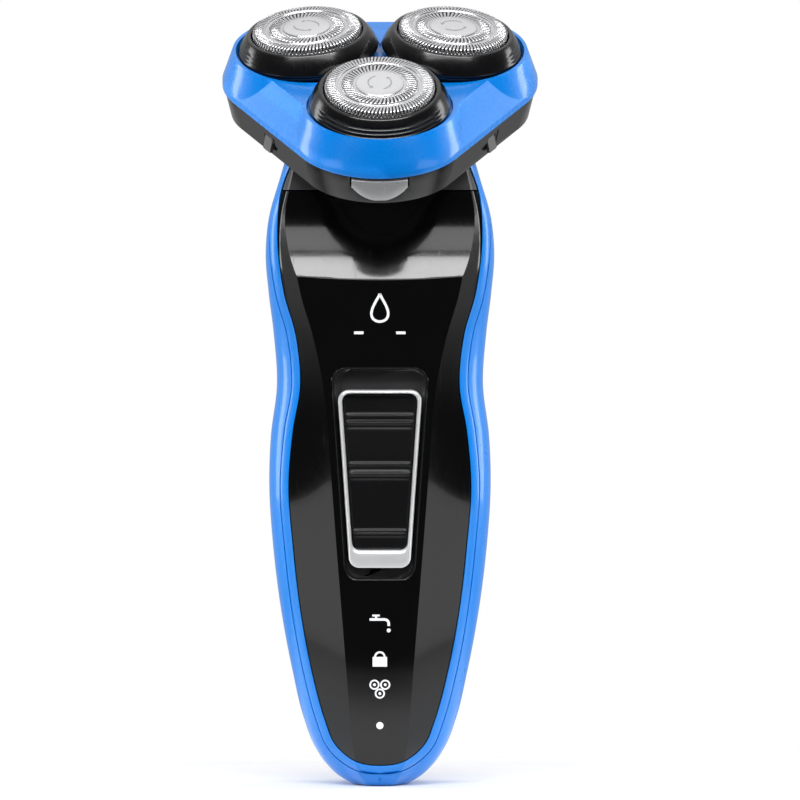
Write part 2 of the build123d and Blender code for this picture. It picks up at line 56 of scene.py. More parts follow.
# height, half width, front depth, back depth, cover's edge x, crease x
STATIONS = [
    (0.0, 6.2, 8.6, 9.2, 4.2, 3.0), (1.5, 8.7, 10.2, 11.0, 6.0, 3.9), (4.0, 11.4, 11.8, 12.9, 8.0, 4.9),
    (8.0, 14.1, 13.3, 14.8, 10.2, 5.7), (14.0, 16.4, 14.8, 16.5, 12.2, 6.3), (24.0, 18.8, 16.3, 18.1, 14.8, 7.1),
    (38.0, 21.4, 17.6, 19.4, 17.3, 8.2), (52.0, 23.1, 18.4, 20.1, 18.9, 9.3), (64.0, 23.85, 18.6, 20.1, 19.5, 10.2),
    (75.0, 23.5, 18.45, 19.5, 18.9, 11.0), (86.0, 22.2, 18.2, 18.6, 17.5, 12.1), (97.0, 22.9, 18.1, 18.0, 18.4, 14.4),
    (106.0, 24.0, 18.2, 17.8, 20.3, 17.0), (114.0, 24.6, 18.2, 17.8, 21.4, 18.2), (122.0, 23.8, 18.1, 17.5, 21.2, 17.8),
    (131.0, 21.1, 17.7, 16.9, 19.1, 15.9), (140.0, 18.4, 17.2, 15.9, 16.8, 13.8), (150.0, 16.4, 16.6, 14.6, 15.0, 12.2),
]
# height and half width of the black cover
COVER_EDGE = [
    (4.6, 0.0), (5.6, 5.4), (9.0, 9.5), (14.0, 11.6), (24.0, 14.3), (38.0, 16.9), (52.0, 18.5), (64.0, 19.4),
    (76.0, 18.5), (86.0, 16.9), (97.0, 17.9), (106.0, 20.4), (118.0, 21.7), (127.0, 21.0), (138.0, 17.0), (152.0, 13.5),
]
# height and depth of the seam between trim and rear shell, from SEAM_FROM up
SEAM = [
    (112.0, -9.25), (114.0, -9.14), (116.0, -8.93), (118.0, -8.66), (120.0, -8.15), (121.0, -7.65), (122.0, -6.8),
    (123.0, -5.6), (124.0, -4.4), (125.0, -3.6), (126.5, -3.05), (128.0, -3.0), (150.0, -3.0),
]
# height and depth of the hollow above the step
SCOOP = [(108.1, 18.4), (112.0, 16.7), (116.4, 15.05), (122.0, 13.45), (129.0, 12.5), (150.0, 11.8)]
STEP = SCOOP[0][0]
SEAM_FROM = SEAM[0][0]
EDGE_COUNT = 420
TRIM_IN = 0.14                           # trim's inner side, outside the cover's edge
TRIM_WIDTH = 1.86
SHELL_GAP = 2.12                         # rear shell's rim, outside the cover's edge
SWITCH_LOW, SWITCH_HIGH = 47.2, 85.2     # heights of the switch surround's ends
SWITCH_HALF = 6.5                        # its half width at the bottom
SWITCH_TAPER = (18.2 - 13.0) / 2 / (SWITCH_HIGH - SWITCH_LOW)
SOCKET_RADIUS = 4.62
SOCKET_DEPTH = 3.0
FOLD = 1.6                               # turned-in rim at the ends of the front skins


def hermite(keys, x, first=None, last=None):
    """Smooth curve through (x, y) keys with finite-difference slopes."""
    n = len(keys)
    x = min(max(x, keys[0][0]), keys[-1][0])
    i = 0
    while i < n - 2 and x > keys[i + 1][0]:
        i += 1

    def slope(k):
        if k == 0:
            return first if first is not None else (keys[1][1] - keys[0][1]) / (keys[1][0] - keys[0][0])
        if k == n - 1:
            return last if last is not None else (keys[-1][1] - keys[-2][1]) / (keys[-1][0] - keys[-2][0])
        h0 = keys[k][0] - keys[k - 1][0]
        h1 = keys[k + 1][0] - keys[k][0]
        d0 = (keys[k][1] - keys[k - 1][1]) / h0
        d1 = (keys[k + 1][1] - keys[k][1]) / h1
        return (d0 * h1 + d1 * h0) / (h0 + h1)

    x0, y0 = keys[i]
    x1, y1 = keys[i + 1]
    h = x1 - x0
    t = (x - x0) / h
    m0, m1 = slope(i) * h, slope(i + 1) * h
    return ((2 * t ** 3 - 3 * t ** 2 + 1) * y0 + (t ** 3 - 2 * t ** 2 + t) * m0
            + (-2 * t ** 3 + 3 * t ** 2) * y1 + (t ** 3 - t ** 2) * m1)


COLUMNS = [[(row[0], row[c]) for row in STATIONS] for c in range(1, 6)]


def station(z):
    return [hermite(column, z) for column in COLUMNS]


def scoop_depth(z):
    return -hermite(SCOOP, z, first=-0.44, last=-0.02)


def bezier(p0, p1, p2, p3, t):
    a = 1 - t
    return tuple(a ** 3 * p0[k] + 3 * a * a * t * p1[k] + 3 * a * t * t * p2[k] + t ** 3 * p3[k] for k in range(2))


def shoulder(z, t):
    """Turn from the cover's edge out to the widest line of the handle."""
    w, f, b, e, s = station(z)
    start, end = (e, -0.66 * f), (w, -0.08 * f)
    reach = math.hypot(end[0] - start[0], end[1] - start[1])
    p1 = (start[0] + 0.30 * reach, start[1] + 0.264 * reach)
    p2 = (end[0], end[1] - 0.42 * reach)
    return bezier(start, p1, p2, end, t)


def front_y(x, z):
    """Depth of the handle's front skin at a place seen from the front."""
    x = abs(x)
    w, f, b, e, s = station(z)
    if x <= s:
        y = -f + 0.35 * (x / s) ** 2
    elif x <= e:
        y = -f + 0.35 + (x - s) / (e - s) * (0.34 * f - 0.35)
    else:
        low, high = 0.0, 1.0
        for _ in range(22):
            mid = (low + high) / 2
            if shoulder(z, mid)[0] < x:
                low = mid
            else:
                high = mid
        y = shoulder(z, low)[1]
    if z > STEP:
        y = max(y, scoop_depth(z))
    return y


def half_section(z, q):
    """Point on the right half of the level outline; q runs 0 at the front to 1 at the back."""
    w, f, b, e, s = station(z)
    if q < 0.4:
        x = e * q / 0.4
        return x, front_y(x, z)
    if q < 0.55:
        x, y = shoulder(z, (q - 0.4) / 0.15)
        if z > STEP:
            y = max(y, scoop_depth(z))
        return x, y
    a = (q - 0.55) / 0.45 * math.pi / 2
    y0 = -0.08 * f
    return w * math.cos(a), y0 + (b - y0) * math.sin(a)


def edge_line():
    """Outline of the black cover from the bottom up the right side: points and normals."""
    keys = [(x, z) for z, x in COVER_EDGE]
    n = len(keys)
    steps = [0.0]
    for a, b in zip(keys, keys[1:]):
        steps.append(steps[-1] + math.dist(a, b) ** 0.75)
    xs = [(steps[k], keys[k][0]) for k in range(n)]
    zs = [(steps[k], keys[k][1]) for k in range(n)]
    line = []
    for i in range(EDGE_COUNT + 1):
        t = steps[-1] * (i / EDGE_COUNT) ** 1.25
        line.append((hermite(xs, t, first=1.9), hermite(zs, t, first=0.0)))
    result = []
    for i, (x, z) in enumerate(line):
        a = line[max(i - 1, 0)]
        b = line[min(i + 1, EDGE_COUNT)]
        dx, dz = b[0] - a[0], b[1] - a[1]
        if i == 0:
            dx, dz = 1.0, 0.0
        length = math.hypot(dx, dz)
        result.append((x, z, dz / length, -dx / length))
    return result


EDGE = edge_line()
EDGE_BY_HEIGHT = [(z, x) for x, z, nx, nz in EDGE]


def edge_at(z):
    """Half width of the black cover at a height."""
    if z <= EDGE_BY_HEIGHT[0][0]:
        return 0.0
    low, high = 0, len(EDGE_BY_HEIGHT) - 1
    while high - low > 1:
        mid = (low + high) // 2
        if EDGE_BY_HEIGHT[mid][0] < z:
            low = mid
        else:
            high = mid
    z0, x0 = EDGE_BY_HEIGHT[low]
    z1, x1 = EDGE_BY_HEIGHT[high]
    return x0 + (x1 - x0) * (z - z0) / (z1 - z0)


# ---- mesh helpers -------------------------------------------------------------------------

def new_object(name, points, faces, material, sharp=35.0):
    """Smooth-shaded mesh object from points in millimetres; edges bent more than sharp degrees stay crisp."""
    mesh = bpy.data.meshes.new(name)
    mesh.from_pydata([tuple(c * MM for c in p) for p in points], [], faces)
    mesh.validate()
    obj = bpy.data.objects.new(name, mesh)
    bpy.context.scene.collection.objects.link(obj)
    bm = bmesh.new()
    bm.from_mesh(mesh)
    bmesh.ops.remove_doubles(bm, verts=bm.verts, dist=0.000004)
    bmesh.ops.dissolve_degenerate(bm, edges=bm.edges, dist=0.000001)
    bmesh.ops.recalc_face_normals(bm, faces=bm.faces)
    for face in bm.faces:
        face.smooth = True
    limit = math.radians(sharp)
    for edge in bm.edges:
        if len(edge.link_faces) == 2:
            edge.smooth = edge.calc_face_angle(0.0) < limit
    bm.to_mesh(mesh)
    bm.free()
    mesh.materials.append(material)
    return obj


def grid_faces(rows, columns, closed=False):
    faces = []
    for r in range(rows - 1):
        for c in range(columns if closed else columns - 1):
            d = (c + 1) % columns
            faces.append((r * columns + c, r * columns + d, (r + 1) * columns + d, (r + 1) * columns + c))
    return faces


def modifier(obj, kind, name, **settings):
    mod = obj.modifiers.new(name, kind)
    for key, value in settings.items():
        setattr(mod, key, value)
    return mod


def unit_frame(name):
    """Origin and axes of one cutting unit: outward, along the rim, up."""
    a = math.radians(UNITS[name])
    out = AX_U * math.cos(a) + AX_V * math.sin(a)
    side = AX_V * math.cos(a) - AX_U * math.sin(a)
    origin = HEAD + out * SPREAD
    up = AX_N * math.cos(UNIT_LEAN) + out * math.sin(UNIT_LEAN)
    outward = out * math.cos(UNIT_LEAN) - AX_N * math.sin(UNIT_LEAN)
    return origin, outward, side, up


def on_unit(name, point):
    origin, outward, side, up = unit_frame(name)
    return origin + outward * point[0] + side * point[1] + up * point[2]


# ---- materials ----------------------------------------------------------------------------

def add_node(nodes, kind, inputs=None, **settings):
    """New shader node with its settings and socket values."""
    node = nodes.new("ShaderNode" + kind)
    for key, value in settings.items():
        setattr(node, key, value)
    for key, value in (inputs or {}).items():
        node.inputs[key].default_value = value
    return node


def material(name, color, rough, metal=0.0, coat=0.0, coat_rough=0.04, spec=0.5, bump=0.02, grain=900.0,
             rough_spread=0.06, color_spread=0.05, scratch=0.0, transmission=0.0, edge_highlight=0.0):
    """Procedural finish: base, fine grain, uneven roughness, optional scratches and a painted highlight on convex
    edges.
    """
    mat = bpy.data.materials.new(name)
    mat.use_nodes = True
    tree = mat.node_tree
    nodes, links = tree.nodes, tree.links
    shader = nodes["Principled BSDF"]
    shader.inputs["Metallic"].default_value = metal
    shader.inputs["Specular IOR Level"].default_value = spec
    shader.inputs["Coat Weight"].default_value = coat
    shader.inputs["Coat Roughness"].default_value = coat_rough
    shader.inputs["Transmission Weight"].default_value = transmission
    place = add_node(nodes, "TexCoord").outputs["Object"]
    broad = add_node(nodes, "TexNoise", {"Scale": 60.0, "Detail": 5.0})
    fine = add_node(nodes, "TexNoise", {"Scale": grain, "Detail": 3.0})
    links.new(place, broad.inputs["Vector"])
    links.new(place, fine.inputs["Vector"])
    tint = add_node(nodes, "ValToRGB")
    tint.color_ramp.elements[0].position = 0.3
    tint.color_ramp.elements[1].position = 0.7
    tint.color_ramp.elements[0].color = [c * (1 - color_spread) for c in color] + [1]
    tint.color_ramp.elements[1].color = [min(1.0, c * (1 + color_spread)) for c in color] + [1]
    links.new(broad.outputs["Fac"], tint.inputs["Fac"])
    base_out = tint.outputs["Color"]
    mixer = add_node(nodes, "Mix", {0: 0.5}, data_type="FLOAT")
    links.new(broad.outputs["Fac"], mixer.inputs[2])
    links.new(fine.outputs["Fac"], mixer.inputs[3])
    rough_map = add_node(nodes, "MapRange", {
        "From Min": 0.3, "From Max": 0.7, "To Min": max(0.0, rough - rough_spread), "To Max": rough + rough_spread})
    links.new(mixer.outputs[0], rough_map.inputs["Value"])
    rough_out = rough_map.outputs["Result"]
    if scratch > 0:
        turned = add_node(nodes, "Mapping", {"Rotation": (0.4, 0.9, 0.3), "Scale": (1.0, 0.03, 0.06)})
        streak = add_node(nodes, "TexNoise", {"Scale": 1400.0, "Detail": 2.0})
        links.new(place, turned.inputs["Vector"])
        links.new(turned.outputs["Vector"], streak.inputs["Vector"])
        thin = add_node(nodes, "MapRange", {"From Min": 0.66, "From Max": 0.74, "To Max": scratch})
        links.new(streak.outputs["Fac"], thin.inputs["Value"])
        add = add_node(nodes, "Math", operation="ADD")
        links.new(rough_out, add.inputs[0])
        links.new(thin.outputs["Result"], add.inputs[1])
        rough_out = add.outputs["Value"]
    # painted highlight: convex edges, found by pointiness, get a lighter copy of the base colour
    if edge_highlight > 0:
        geometry = add_node(nodes, "NewGeometry")
        ramp = add_node(nodes, "MapRange", {"From Min": 0.54, "From Max": 0.62, "To Max": edge_highlight})
        links.new(geometry.outputs["Pointiness"], ramp.inputs["Value"])
        lit_edge = add_node(nodes, "Mix", data_type="RGBA")
        links.new(ramp.outputs["Result"], lit_edge.inputs[0])
        links.new(base_out, lit_edge.inputs[6])
        lit_edge.inputs[7].default_value = [min(1.0, c * 1.6 + 0.03) for c in color] + [1]
        base_out = lit_edge.outputs[2]
    links.new(base_out, shader.inputs["Base Color"])
    links.new(rough_out, shader.inputs["Roughness"])
    if bump > 0:
        relief = add_node(nodes, "Bump", {"Strength": bump, "Distance": 0.0002})
        links.new(fine.outputs["Fac"], relief.inputs["Height"])
        links.new(relief.outputs["Normal"], shader.inputs["Normal"])
    return mat


BLUE = (0.0, 0.172, 0.60)
# colour, roughness and what else differs from the plain finish
FINISHES = {
    "blue_gloss": (BLUE, 0.30, dict(
        coat=0.45, coat_rough=0.07, spec=0.35, bump=0.010, scratch=0.05, color_spread=0.02, rough_spread=0.04)),
    # the deck's convex edges carry a painted highlight in a lighter blue
    "deck_blue": (BLUE, 0.28, dict(
        coat=0.6, coat_rough=0.12, spec=0.4, bump=0.010, scratch=0.05, edge_highlight=0.25, color_spread=0.02,
        rough_spread=0.04)),
    "black_gloss": ((0.002, 0.002, 0.0022), 0.10, dict(
        coat=0.2, coat_rough=0.03, bump=0.006, scratch=0.10, spec=0.4, rough_spread=0.03)),
    "holder_black": ((0.003, 0.003, 0.0035), 0.22, dict(coat=0.35, coat_rough=0.12, bump=0.01, scratch=0.08)),
    "black_satin": ((0.012, 0.012, 0.013), 0.42, dict(bump=0.05, grain=2600.0)),
    "grey_satin": ((0.045, 0.045, 0.047), 0.4, dict(bump=0.05, grain=2600.0)),
    "grip_black": ((0.003, 0.003, 0.0035), 0.36, dict(bump=0.06, grain=3200.0, coat=0.08, coat_rough=0.3, spec=0.3)),
    "seal_rubber": ((0.02, 0.02, 0.02), 0.7, dict(bump=0.1, grain=2400.0)),
    "bright_trim": ((0.90, 0.91, 0.92), 0.22, dict(metal=0.55, bump=0.01, scratch=0.15, rough_spread=0.05)),
    "button_silver": ((0.62, 0.63, 0.64), 0.3, dict(metal=0.7, bump=0.03, grain=3000.0, scratch=0.1)),
    "foil_steel": ((0.84, 0.84, 0.86), 0.28, dict(
        metal=1.0, bump=0.012, grain=1800.0, scratch=0.1, rough_spread=0.06)),
    "disc_steel": ((0.90, 0.90, 0.92), 0.28, dict(metal=1.0, bump=0.02, scratch=0.1)),
    "blade_steel": ((0.45, 0.46, 0.48), 0.3, dict(metal=1.0, bump=0.05, grain=2200.0, scratch=0.2)),
    "machine_steel": ((0.55, 0.56, 0.58), 0.34, dict(metal=1.0, bump=0.04, grain=1600.0, scratch=0.2)),
    "motor_steel": ((0.6, 0.61, 0.63), 0.36, dict(metal=1.0, bump=0.06, grain=1500.0, scratch=0.2)),
    "gear_plastic": ((0.78, 0.78, 0.73), 0.45, dict(bump=0.05, grain=1800.0)),
    "frame_plastic": ((0.05, 0.05, 0.055), 0.5, dict(bump=0.07, grain=2000.0)),
    "board_green": ((0.012, 0.12, 0.045), 0.35, dict(coat=0.4, bump=0.03, grain=1200.0)),
    "chip_black": ((0.015, 0.015, 0.017), 0.55, dict(bump=0.06, grain=2600.0)),
    "lamp_clear": ((0.85, 0.86, 0.88), 0.15, dict(bump=0.01, transmission=0.6)),
    "cell_sleeve": ((0.01, 0.08, 0.2), 0.3, dict(coat=0.5, bump=0.03)),
    "contact_brass": ((0.72, 0.53, 0.25), 0.28, dict(metal=1.0, bump=0.04, scratch=0.15)),
    "mark_white": ((0.80, 0.81, 0.83), 0.45, dict(bump=0.03, grain=2600.0)),
}
MATS = {name: material(name, color, rough, **rest) for name, (color, rough, rest) in FINISHES.items()}


# ---- handle skins -------------------------------------------------------------------------

def cover_rows(top):
    """Edge samples up to a height, with a pair of rows at the crease."""
    rows = [(x, z) for x, z, nx, nz in EDGE if z < top - 0.05 and abs(z - STEP) > 0.28]
    for z in (STEP - 0.12, STEP, STEP + 0.12):
        rows.append((edge_at(z), z))
    rows.append((edge_at(top), top))
    rows.sort(key=lambda row: row[1])
    return rows


def crease_x(z, limit):
    """Where the strip's crease runs below the step, and the scoop's edge above it."""
    w, f, b, e, s = station(z)
    if z <= STEP:
        return min(s, 0.9 * limit)
    depth = scoop_depth(z)
    slope = (0.34 * f - 0.35) / (e - s)
    x = s + (depth + f - 0.35) / slope if depth > -f + 0.35 else s
    return min(max(x, s * 0.98), 0.96 * limit)


def front_skin(name, rows, material_name, fold_foot=False, fold_top=False):
    """Skin between the left and right cover edges, with a turned-in rim."""
    points = []
    flat_steps, slope_steps = 16, 10
    for x_edge, z in rows:
        limit = max(x_edge, 0.02)
        mid = crease_x(z, limit)
        xs = [mid * i / flat_steps for i in range(flat_steps + 1)]
        xs += [mid + (limit - mid) * (i / slope_steps) ** 0.85 for i in range(1, slope_steps + 1)]
        line = [(x, front_y(x, z), z) for x in [-x for x in reversed(xs[1:])] + xs]
        y_lip = line[0][1] + 0.12
        y_rim = y_lip + 1.5 * min(1.0, max(0.0, limit - 1.0) / 4.0)
        points.extend([(-limit * 0.992, y_rim, z), (line[0][0], y_lip, z)])
        points.extend(line)
        points.extend([(line[-1][0], y_lip, z), (limit * 0.992, y_rim, z)])
    columns = len(points) // len(rows)
    count = len(rows)
    if fold_foot:
        points = [(x, y + FOLD, z) for x, y, z in points[:columns]] + points
        count += 1
    if fold_top:
        points = points + [(x, y + FOLD, z) for x, y, z in points[-columns:]]
        count += 1
    return new_object(name, points, grid_faces(count, columns), MATS[material_name], sharp=24.0)


def switch_half(z):
    """Half width of the switch surround at a height."""
    return SWITCH_HALF + (z - SWITCH_LOW) * SWITCH_TAPER


def outline(grow, low, high, radius, count=8):
    """Tapered window outline seen from the front, corners rounded."""
    half_low = switch_half(low) + grow
    half_high = switch_half(high) + grow
    corners = [(half_low, low), (half_high, high), (-half_high, high), (-half_low, low)]
    points = []
    for k in range(4):
        a, b, c = corners[k - 1], corners[k], corners[(k + 1) % 4]
        ab = Vector((a[0] - b[0], a[1] - b[1])).normalized()
        cb = Vector((c[0] - b[0], c[1] - b[1])).normalized()
        angle = ab.angle(cb)
        reach = radius / math.tan(angle / 2)
        centre = Vector(b) + (ab + cb).normalized() * (radius / math.sin(angle / 2))
        start = Vector(b) + ab * reach - centre
        end = Vector(b) + cb * reach - centre
        a0 = math.atan2(start.y, start.x)
        a1 = math.atan2(end.y, end.x)
        while a1 - a0 > math.pi:
            a1 -= 2 * math.pi
        while a1 - a0 < -math.pi:
            a1 += 2 * math.pi
        for i in range(count + 1):
            t = a0 + (a1 - a0) * i / count
            points.append((centre.x + radius * math.cos(t), centre.y + radius * math.sin(t)))
    dense = []
    for k, p in enumerate(points):
        q = points[(k + 1) % len(points)]
        parts = max(1, int(math.dist(p, q) / 1.2))
        for i in range(parts):
            dense.append((p[0] + (q[0] - p[0]) * i / parts, p[1] + (q[1] - p[1]) * i / parts))
    return dense


def ring_stack(name, rings, material_name, sharp=35.0):
    """Closed outlines joined in order; each ring is a list of (x, y, z)."""
    points = [p for ring in rings for p in ring]
    faces = grid_faces(len(rings), len(rings[0]), closed=True)
    return new_object(name, points, faces, MATS[material_name], sharp=sharp)


def build_cover():
    """Black front cover, with the window for the switch cut through it."""
    cover = front_skin("cover_skin", cover_rows(127.6), "black_gloss", fold_top=True)
    window = outline(1.05, 44.65, 89.85, 3.0)
    rings = [[(x, y, z) for x, z in window] for y in (-30.0, -8.0)]
    points = [p for ring in rings for p in ring]
    size = len(window)
    faces = grid_faces(2, size, closed=True) + [tuple(range(size)), tuple(range(size, 2 * size))]
    tool = new_object("window_tool", points, faces, MATS["black_gloss"])
    modifier(cover, "BOOLEAN", "window", operation="DIFFERENCE", object=tool, solver="EXACT")
    bpy.context.view_layer.objects.active = cover
    bpy.context.view_layer.update()
    with bpy.context.temp_override(object=cover, active_object=cover, selected_objects=[cover]):
        bpy.ops.object.modifier_apply(modifier="window")
    bpy.data.objects.remove(tool)
    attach(cover, "housing")
    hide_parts("front_cover")


def build_collar():
    """Grey skin between the cover's top and the head base."""
    rows = []
    for i in range(26):
        z = 127.9 + i * 0.36
        rows.append((edge_at(z), z))
    collar = front_skin("collar_skin", rows, "grey_satin", fold_foot=True)
    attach(collar, "housing")
    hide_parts("neck_collar")


def offset_edge(gap):
    """Cover outline moved outward, as (height, half width) from the bottom up."""
    return [(z + nz * gap, x + nx * gap) for x, z, nx, nz in EDGE]


def width_on(line, z):
    """Half width at a height on an offset edge."""
    for (z0, x0), (z1, x1) in zip(line, line[1:]):
        if z0 <= z <= z1:
            return x0 + (x1 - x0) * (z - z0) / max(1e-9, z1 - z0)
    return line[-1][1]


def band_across(z, inner, shares):
    """Places on the level outline from the cover's edge out to the seam with the rear shell."""
    start = width_on(inner, z)
    path = []
    for i in range(481):
        x, y = half_section(z, 0.25 + 0.30 * i / 480)
        if x >= start:
            if y >= hermite(SEAM, z) - 0.1:
                break
            path.append((x, y))
    lengths = [0.0]
    for p, q in zip(path, path[1:]):
        lengths.append(lengths[-1] + math.dist(p, q))
    result = []
    for share in shares:
        target = lengths[-1] * share
        k = 0
        while k < len(path) - 2 and lengths[k + 1] < target:
            k += 1
        t = (target - lengths[k]) / max(1e-9, lengths[k + 1] - lengths[k])
        p, q = path[k], path[k + 1]
        result.append((p[0] + (q[0] - p[0]) * t, p[1] + (q[1] - p[1]) * t))
    return result


def build_trim():
    """Bright band round the cover: a raised bead following the cover's outline."""
    across = [TRIM_IN, 0.24, 0.5, 0.85, 1.2, 1.55, 1.8, 1.94, 2.0]
    lift = [-0.55, -0.02, 0.05, 0.08, 0.08, 0.05, 0.0, -0.1, -0.55]
    shares = [(d - TRIM_IN) / TRIM_WIDTH for d in across]
    inner = offset_edge(TRIM_IN)
    side = []
    for x, z, nx, nz in EDGE:
        if z < SEAM_FROM:
            row = []
            for d, h in zip(across, lift):
                px, pz = x + nx * d, z + nz * d
                row.append((px, front_y(px, pz) - h, pz))
            side.append(row)
    for i in range(81):
        z = 112.2 + 0.36 * i
        places = band_across(z, inner, shares)
        side.append([(x, y - h, z) for (x, y), h in zip(places, lift)])
    rows = [[(-x, y, z) for x, y, z in row] for row in reversed(side)] + side[1:]
    points = [p for row in rows for p in row]
    trim = new_object("trim_band", points, grid_faces(len(rows), len(across)), MATS["blue_gloss"], sharp=50.0)
    drop_above(trim, NECK_CUT)
    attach(trim, "housing")
    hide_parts("trim_frame")


def drop_above(obj, level):
    """Cuts away what would stand inside the head base."""
    bm = bmesh.new()
    bm.from_mesh(obj.data)
    parts = list(bm.verts) + list(bm.edges) + list(bm.faces)
    bmesh.ops.bisect_plane(bm, geom=parts, dist=0.0000001, plane_co=(HEAD + AX_N * level) * MM,
                           plane_no=AX_N, clear_outer=True)
    bm.to_mesh(obj.data)
    bm.free()


def section_from(z, x_start, count):
    """Right half outline from x_start, or from the seam where there is one, round to the back centre."""
    seam = hermite(SEAM, z)
    low, high = 0.0, 0.55
    for _ in range(26):
        mid = (low + high) / 2
        x, y = half_section(z, mid)
        if (x < x_start and y < -3.0) if z < SEAM_FROM else y < seam:
            low = mid
        else:
            high = mid
    fine = [half_section(z, low + (1 - low) * i / (count * 6)) for i in range(count * 6 + 1)]
    lengths = [0.0]
    for a, c in zip(fine, fine[1:]):
        lengths.append(lengths[-1] + math.dist(a, c))
    total = lengths[-1]
    result = []
    k = 0
    for i in range(count + 1):
        share = i / count
        target = total * (share * 0.75 + 0.25 * share ** 2)
        while k < len(lengths) - 2 and lengths[k + 1] < target:
            k += 1
        t = (target - lengths[k]) / max(1e-9, lengths[k + 1] - lengths[k])
        t = min(max(t, 0.0), 1.0)
        p, q = fine[k], fine[k + 1]
        result.append((p[0] + (q[0] - p[0]) * t, p[1] + (q[1] - p[1]) * t))
    return result


def build_shell():
    """Rear shell: round the back from one side of the trim to the other, closed under the foot."""
    outer = offset_edge(SHELL_GAP)
    bottom = outer[0][0]
    levels = [z for z in (0.0, 0.12, 0.35, 0.7, 1.1, 1.5, 1.9, 2.2, 2.4) if z < bottom - 0.02]
    last = -9
    for z, x in outer:
        if z - last > 0.02 + min(0.75, 0.02 + (z - bottom) * 0.08) and z < 148:
            levels.append(z)
            last = z
    count = 56

    def start_at(z):
        return 0.0 if z <= bottom else width_on(outer, z)

    points = []
    for z in levels:
        right = section_from(max(z, 0.0), start_at(z), count)
        left = [(-x, y) for x, y in reversed(right[:-1])]
        loop = right + left
        x, y = loop[0]
        under = [(max(x - 0.8, 0.0), y - 0.5 if x > 0.8 else y + 0.5), (max(x - 0.3, 0.0), y + 0.3)]
        loop = under + loop + [(-x, y) for x, y in reversed(under)]
        points.extend([(x, y, z) for x, y in loop])
    columns = len(points) // len(levels)
    faces = grid_faces(len(levels), columns)
    # foot: a flat ring round the charging socket, turned up into it
    first = points[2:columns - 2]
    base = len(points)
    inner = []
    for x, y, z in first:
        r = math.hypot(x, y)
        inner.append((SOCKET_RADIUS * x / r, SOCKET_RADIUS * y / r, 0.0))
    points.extend(inner)
    points.extend([(x, y, SOCKET_DEPTH) for x, y, z in inner])
    size = len(first)
    for c in range(size - 1):
        faces.append((2 + c, base + c, base + c + 1, 3 + c))
        faces.append((base + c, base + size + c, base + size + c + 1, base + c + 1))
    shell = new_object("rear_skin", points, faces, MATS["blue_gloss"], sharp=40.0)
    drop_above(shell, NECK_CUT)
    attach(shell, "housing")
    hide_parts("rear_shell")


# ---- power switch -------------------------------------------------------------------------

def build_well():
    """Tray under the switch: sides sunk from the cover's skin, then a flat floor."""
    floor, middle = -15.3, 67.2
    shape = [(1.1, 0.0, 0.02), (1.02, 0.05, 0.2), (0.92, 0.1, 0.7), (0.82, 0.15, 1.5), (0.6, 0.3, 2.4)]
    rings = []
    for grow, shrink, sink in shape:
        ring = outline(grow, 44.6 + shrink, 89.9 - shrink, 3.0)
        rings.append([(x, min(front_y(x, z), -17.0) + sink, z) for x, z in ring])
    rim = outline(0.1, 44.6 + 0.7, 89.9 - 0.7, 3.0)
    rings.append([(x, floor, z) for x, z in rim])
    for shrink in (0.9, 0.5, 0.02):
        rings.append([(x * shrink, floor, middle + (z - middle) * shrink) for x, z in rim])
    well = ring_stack("well_tray", rings, "black_satin")
    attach(well, "housing")
    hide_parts("switch_well")


def build_surround():
    """Bright surround: rolled section, broad and dished across the bottom."""
    outer = outline(0.0, SWITCH_LOW, SWITCH_HIGH, 2.3, 10)
    inner = outline(-0.9, 51.0, 84.4, 1.7, 10)
    if len(inner) != len(outer):
        inner = resample(inner, outer)
    profile = [(0.0, -15.6), (0.0, -18.6), (0.16, -19.0), (0.42, -19.22), (0.62, -19.2), (0.8, -19.0),
               (0.9, -18.5), (0.9, -15.9)]
    rings = []
    for across, depth in profile:
        share = across / 0.9
        ring = []
        for (ox, oz), (ix, iz) in zip(outer, inner):
            x = ox + (ix - ox) * share
            z = oz + (iz - oz) * share
            low = max(0.0, (51.5 - z) / 3.5)
            y = depth + 0.35 * math.sin(math.pi * share) * min(1.0, low)
            ring.append((x, y, z))
        rings.append(ring)
    trim = ring_stack("switch_surround", rings, "bright_trim", sharp=60.0)
    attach(trim, "switch")
    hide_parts("switch_frame")


def build_grip():
    """Black pad inside the surround, dished, with grooves across it and a rounded rim."""
    points = []
    rows, columns = 170, 33
    low, high, corner = 51.06, 84.34, 1.6
    for r in range(rows):
        z = low + (high - low) * r / (rows - 1)
        half = switch_half(z) - 0.95
        edge = min(z - low, high - z)
        if edge < corner:
            half -= corner - math.sqrt(max(0.0, corner ** 2 - (corner - edge) ** 2))
        for c in range(columns):
            share = -1 + 2 * c / (columns - 1)
            x = half * share
            depth = -18.25 - 0.25 * math.cos((z - 67.7) / 16.6 * math.pi)
            depth += 0.22 * (1 - share ** 2)
            for level in (79.7, 78.2, 69.3, 67.3, 55.0):
                depth -= 0.42 * math.exp(-((z - level) / 0.36) ** 2) * (1 - abs(share) ** 14)
                depth += 0.16 * math.exp(-((z - level + 0.85) / 0.42) ** 2) * (1 - abs(share) ** 14)
            rim = min(1.0, (1 - abs(share)) * half / 0.35) * min(1.0, edge / 0.35 + 0.02)
            depth += 0.9 * (1 - rim) ** 2
            points.append((x, depth, z))
    pad = new_object("grip_pad", points, grid_faces(rows, columns), MATS["grip_black"], sharp=70.0)
    modifier(pad, "SOLIDIFY", "body", thickness=1.6 * MM, offset=-1.0)
    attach(pad, "switch")
    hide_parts("switch_grip")


